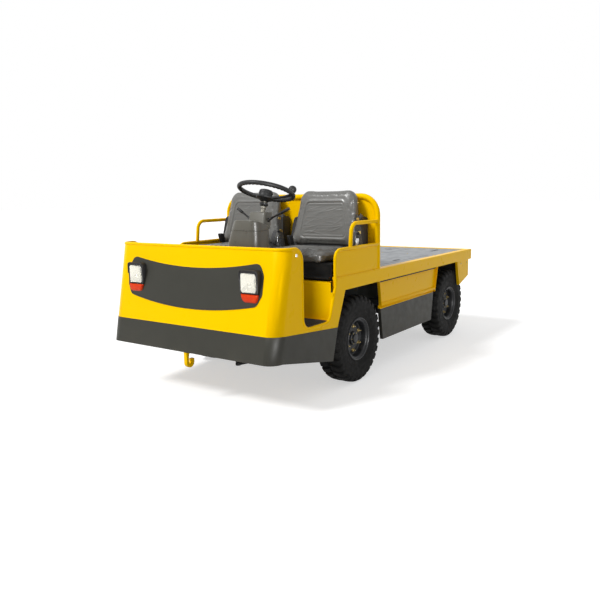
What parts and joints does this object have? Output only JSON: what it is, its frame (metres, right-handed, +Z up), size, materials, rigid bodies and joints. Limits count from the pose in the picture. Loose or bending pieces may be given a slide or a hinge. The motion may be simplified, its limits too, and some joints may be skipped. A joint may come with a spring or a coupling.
{
  "type": "electric platform truck",
  "caption": "Low electric platform truck with a two-seat open cab, flat load deck with lift-up lids, steered front wheels and rolling tyres.",
  "frame": {"origin": "on the floor under the middle of the truck's box", "axes": "+Z up, +Y towards the rear, +X towards the truck's left side"},
  "size_m": [1.39, 2.976, 1.3518],
  "materials": {
    "yellow_paint": "glossy yellow machine paint",
    "grey_paint": "satin dark grey paint",
    "black_plastic": "fine-grained black moulding",
    "grey_plastic": "grey moulding",
    "clear_lens": "clear ribbed lens",
    "amber_lens": "amber lens",
    "red_lens": "red lens",
    "floor_rubber": "ribbed rubber mat",
    "black_paint": "black chassis paint",
    "deck_plate": "worn grey deck plate",
    "battery_case": "dark battery case",
    "seat_vinyl": "grey vinyl under clear film",
    "tyre": "black lug tyre",
    "wheel_paint": "black painted steel wheel"
  },
  "bodies": {
    "chassis": {"edge_tube": "yellow_paint", "nose_shell": "yellow_paint", "cab_floor": "yellow_paint", "bulkhead_tube": "yellow_paint", "bulkhead_sheet": "yellow_paint", "side_panels": "yellow_paint", "deck_rails": "yellow_paint", "upper_side_panels": "yellow_paint", "rear_guards": "yellow_paint", "front_tow_hook": "yellow_paint", "nose_skirt": "grey_paint", "front_trim": "grey_paint", "lower_side_panels": "grey_paint", "lamp_housings": "black_plastic", "seat_shells": "black_plastic", "driver_controls": "black_plastic", "steering_cowls": "grey_plastic", "column_shroud": "grey_plastic", "headlamp_lenses": "clear_lens", "indicator_lenses": "amber_lens", "tail_lamps": "red_lens", "floor_mat": "floor_rubber", "seat_box": "black_paint", "chassis_rails": "black_paint", "chassis_cross_members": "black_paint", "chassis_brackets": "black_paint", "deck_beams": "black_paint", "rear_coupling": "black_paint", "front_axle": "black_paint", "rear_axle": "black_paint", "drive_motor": "black_paint", "steering_gear": "black_paint", "leaf_springs": "black_paint", "deck_plates": "deck_plate", "battery_pack": "battery_case", "driver_seat_cushion": "seat_vinyl", "driver_seat_backrest": "seat_vinyl", "passenger_seat_cushion": "seat_vinyl", "passenger_seat_backrest": "seat_vinyl"},
    "steering": {"steering_wheel": "black_plastic", "steering_hub_cap": "black_plastic", "spinner_knob": "black_plastic"},
    "left_knuckle": {"knuckle_left": "black_paint"},
    "right_knuckle": {"knuckle_right": "black_paint"},
    "track_rod": {"tie_rod": "black_paint"},
    "drag_rod": {"drag_link": "black_paint"},
    "pitman": {"pitman_arm": "black_paint"},
    "front_left_wheel": {"tyre_front_left": "tyre", "rim_front_left": "wheel_paint"},
    "front_right_wheel": {"tyre_front_right": "tyre", "rim_front_right": "wheel_paint"},
    "rear_left_wheel": {"tyre_rear_left": "tyre", "rim_rear_left": "wheel_paint"},
    "rear_right_wheel": {"tyre_rear_right": "tyre", "rim_rear_right": "wheel_paint"},
    "left_lid": {"deck_lid_left": "deck_plate"},
    "right_lid": {"deck_lid_right": "deck_plate"}
  },
  "joints": [
    {"name": "left_steer", "type": "hinge", "parent": "chassis", "child": "left_knuckle", "pos_m": [0.501, -0.541, 0.295], "axis": [0, 0, 1], "range_deg": [-30, 30]},
    {"name": "right_steer", "type": "hinge", "parent": "chassis", "child": "right_knuckle", "pos_m": [-0.501, -0.541, 0.295], "axis": [0, 0, 1], "range_deg": [-30, 30]},
    {"name": "steering_turn", "type": "hinge", "parent": "chassis", "child": "steering", "pos_m": [0.3, -1.015, 1.282], "axis": [0, 0.3256, 0.9455], "range_deg": [-450, 450]},
    {"name": "pitman_swing", "type": "hinge", "parent": "chassis", "child": "pitman", "pos_m": [0.3, -1.15, 0.247], "axis": [0, 0, 1], "range_deg": [-30, 30]},
    {"name": "drag_rod_pivot", "type": "hinge", "parent": "pitman", "child": "drag_rod", "pos_m": [0.24, -1.265, 0.225], "axis": [0, 0, 1], "range_deg": [-30, 30]},
    {"name": "track_rod_pivot", "type": "hinge", "parent": "left_knuckle", "child": "track_rod", "pos_m": [0.501, -0.406, 0.225], "axis": [0, 0, 1], "range_deg": [-30, 30]},
    {"name": "front_left_spin", "type": "hinge", "parent": "left_knuckle", "child": "front_left_wheel", "pos_m": [0.611, -0.541, 0.295], "axis": [1, 0, 0], "continuous": true},
    {"name": "front_right_spin", "type": "hinge", "parent": "right_knuckle", "child": "front_right_wheel", "pos_m": [-0.611, -0.541, 0.295], "axis": [1, 0, 0], "continuous": true},
    {"name": "rear_left_spin", "type": "hinge", "parent": "chassis", "child": "rear_left_wheel", "pos_m": [0.58, 1.079, 0.295], "axis": [1, 0, 0], "continuous": true},
    {"name": "rear_right_spin", "type": "hinge", "parent": "chassis", "child": "rear_right_wheel", "pos_m": [-0.58, 1.079, 0.295], "axis": [1, 0, 0], "continuous": true},
    {"name": "left_lid_hinge", "type": "hinge", "parent": "chassis", "child": "left_lid", "pos_m": [0.03, 0.345, 0.736], "axis": [0, -1, 0], "range_deg": [0, 85]},
    {"name": "right_lid_hinge", "type": "hinge", "parent": "chassis", "child": "right_lid", "pos_m": [-0.03, 0.345, 0.736], "axis": [0, 1, 0], "range_deg": [0, 85]}
  ],
  "couplings": [
    {"joint": "right_steer", "follows": "left_steer", "ratio": 1},
    {"joint": "steering_turn", "follows": "left_steer", "ratio": 15},
    {"joint": "pitman_swing", "follows": "left_steer", "ratio": 1},
    {"joint": "drag_rod_pivot", "follows": "left_steer", "ratio": -1},
    {"joint": "track_rod_pivot", "follows": "left_steer", "ratio": -1}
  ]
}
